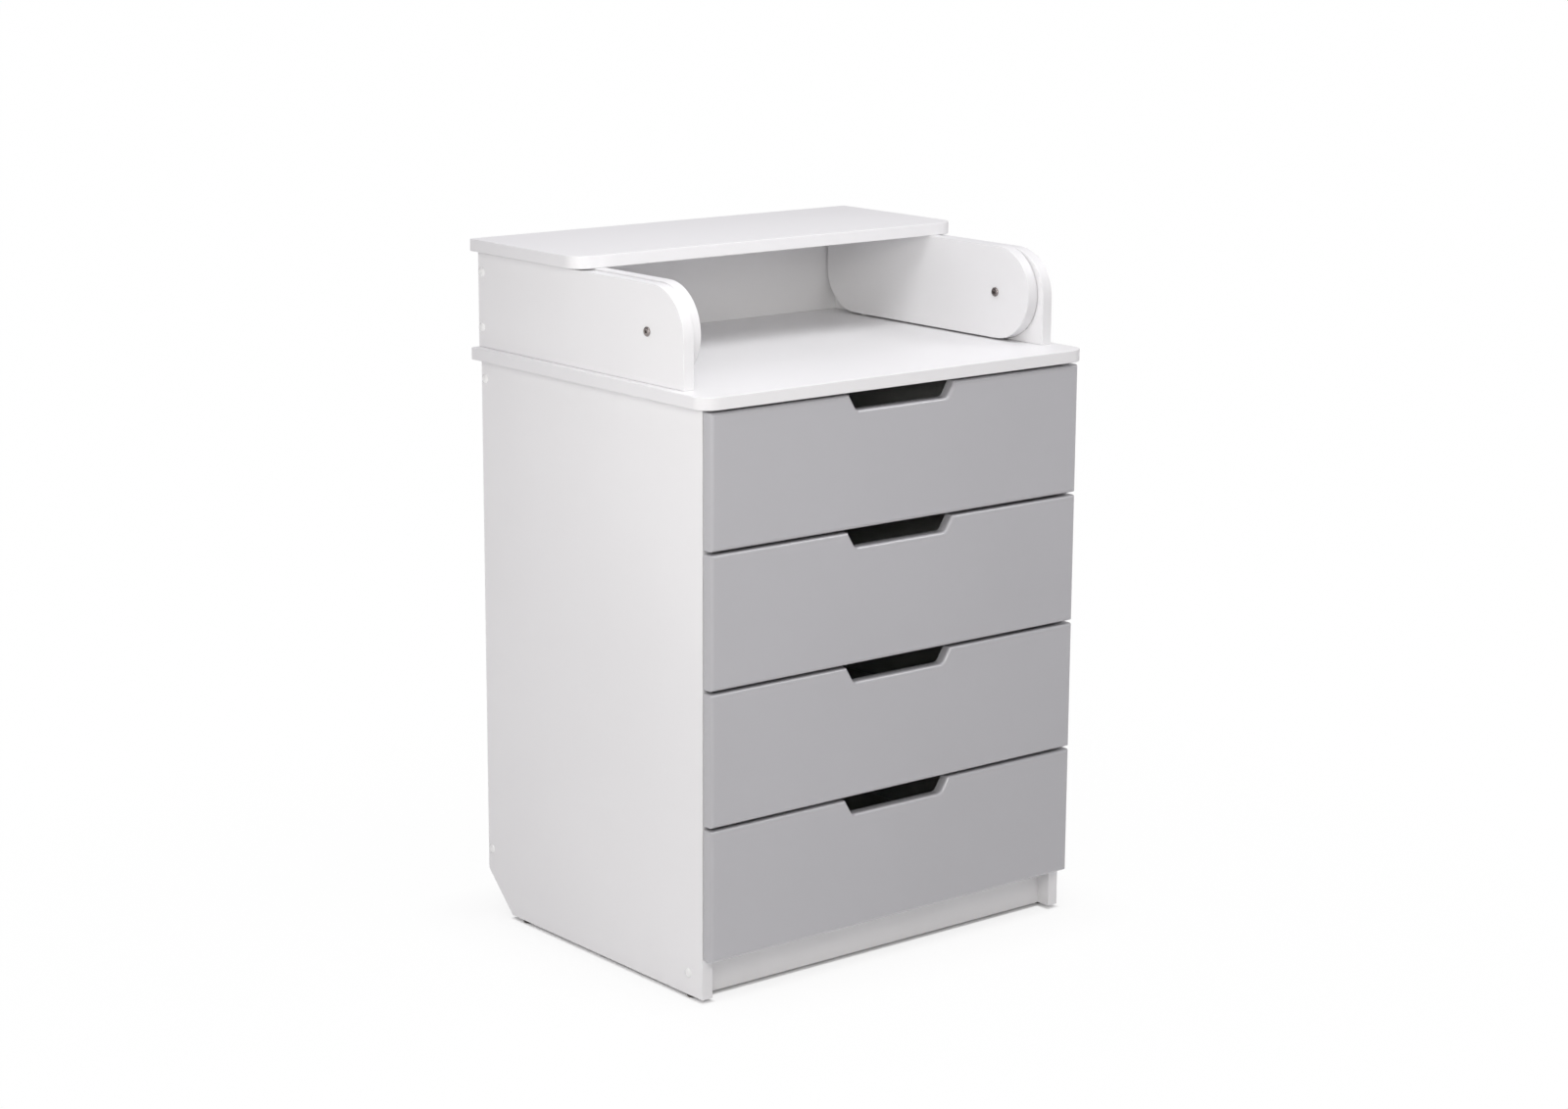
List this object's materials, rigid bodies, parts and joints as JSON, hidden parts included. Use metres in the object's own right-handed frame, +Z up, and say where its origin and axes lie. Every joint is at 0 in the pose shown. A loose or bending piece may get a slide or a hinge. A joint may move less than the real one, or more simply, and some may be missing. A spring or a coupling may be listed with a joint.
{
  "type": "changing dresser",
  "caption": "Chest of drawers with finger notches, a changing top and a rear shelf on two arms that flips forward to make the changing surface deeper",
  "frame": {"origin": "on the floor, under the middle of the dresser's outer box", "axes": "+X to the right seen from the front, -Y to the front where the drawers open, +Z up"},
  "size_m": [0.624, 0.49, 0.898],
  "materials": {
    "white_board": "satin white laminate on chipboard",
    "grey_front": "satin grey foil on fibreboard",
    "box_board": "matt pale grey foil on chipboard",
    "hardboard": "matt white painted hardboard",
    "zinc_steel": "bright zinc plated",
    "nickel": "satin nickel",
    "white_plastic": "satin white",
    "glide_plastic": "matt dark",
    "bumper_rubber": "matt",
    "beech": "raw beech"
  },
  "bodies": {
    "carcass": {"side_left": "white_board", "side_right": "white_board", "countertop": "white_board", "plinth": "white_board", "rear_rail_top": "white_board", "rear_rail_bottom": "white_board", "back_panel": "hardboard", "upper_side_left": "white_board", "upper_side_right": "white_board", "upper_back": "white_board", "glides": "glide_plastic", "confirmats": "zinc_steel", "screw_caps": "white_plastic", "cam_bolts": "zinc_steel", "cams": "zinc_steel", "top_dowels": "beech", "pivot_bolts": "nickel", "pivot_sleeves": "nickel", "pivot_washers": "white_plastic", "cabinet_runners_left": "zinc_steel", "cabinet_runners_right": "zinc_steel"},
    "flip_top": {"shelf": "white_board", "arm_left": "white_board", "arm_right": "white_board", "arm_dowels": "beech", "bumpers": "bumper_rubber"},
    "drawer_1": {"drawer_1_front": "grey_front", "drawer_1_side_left": "box_board", "drawer_1_side_right": "box_board", "drawer_1_back": "box_board", "drawer_1_bottom": "hardboard", "drawer_1_runners": "zinc_steel"},
    "runner_1": {"runner_middle_1": "zinc_steel"},
    "drawer_2": {"drawer_2_front": "grey_front", "drawer_2_side_left": "box_board", "drawer_2_side_right": "box_board", "drawer_2_back": "box_board", "drawer_2_bottom": "hardboard", "drawer_2_runners": "zinc_steel"},
    "runner_2": {"runner_middle_2": "zinc_steel"},
    "drawer_3": {"drawer_3_front": "grey_front", "drawer_3_side_left": "box_board", "drawer_3_side_right": "box_board", "drawer_3_back": "box_board", "drawer_3_bottom": "hardboard", "drawer_3_runners": "zinc_steel"},
    "runner_3": {"runner_middle_3": "zinc_steel"},
    "drawer_4": {"drawer_4_front": "grey_front", "drawer_4_side_left": "box_board", "drawer_4_side_right": "box_board", "drawer_4_back": "box_board", "drawer_4_bottom": "hardboard", "drawer_4_runners": "zinc_steel"},
    "runner_4": {"runner_middle_4": "zinc_steel"}
  },
  "joints": [
    {"name": "flip_top_swing", "type": "hinge", "parent": "carcass", "child": "flip_top", "pos_m": [0, -0.11725, 0.82125], "axis": [1, 0, 0], "range_deg": [0, 180]},
    {"name": "drawer_1_slide", "type": "slide", "parent": "carcass", "child": "drawer_1", "axis": [0, -1, 0], "range_m": [0, 0.4]},
    {"name": "runner_1_slide", "type": "slide", "parent": "carcass", "child": "runner_1", "axis": [0, -1, 0], "range_m": [0, 0.2]},
    {"name": "drawer_2_slide", "type": "slide", "parent": "carcass", "child": "drawer_2", "axis": [0, -1, 0], "range_m": [0, 0.4]},
    {"name": "runner_2_slide", "type": "slide", "parent": "carcass", "child": "runner_2", "axis": [0, -1, 0], "range_m": [0, 0.2]},
    {"name": "drawer_3_slide", "type": "slide", "parent": "carcass", "child": "drawer_3", "axis": [0, -1, 0], "range_m": [0, 0.4]},
    {"name": "runner_3_slide", "type": "slide", "parent": "carcass", "child": "runner_3", "axis": [0, -1, 0], "range_m": [0, 0.2]},
    {"name": "drawer_4_slide", "type": "slide", "parent": "carcass", "child": "drawer_4", "axis": [0, -1, 0], "range_m": [0, 0.4]},
    {"name": "runner_4_slide", "type": "slide", "parent": "carcass", "child": "runner_4", "axis": [0, -1, 0], "range_m": [0, 0.2]}
  ],
  "couplings": [
    {"joint": "runner_1_slide", "follows": "drawer_1_slide", "ratio": 0.5},
    {"joint": "runner_2_slide", "follows": "drawer_2_slide", "ratio": 0.5},
    {"joint": "runner_3_slide", "follows": "drawer_3_slide", "ratio": 0.5},
    {"joint": "runner_4_slide", "follows": "drawer_4_slide", "ratio": 0.5}
  ]
}
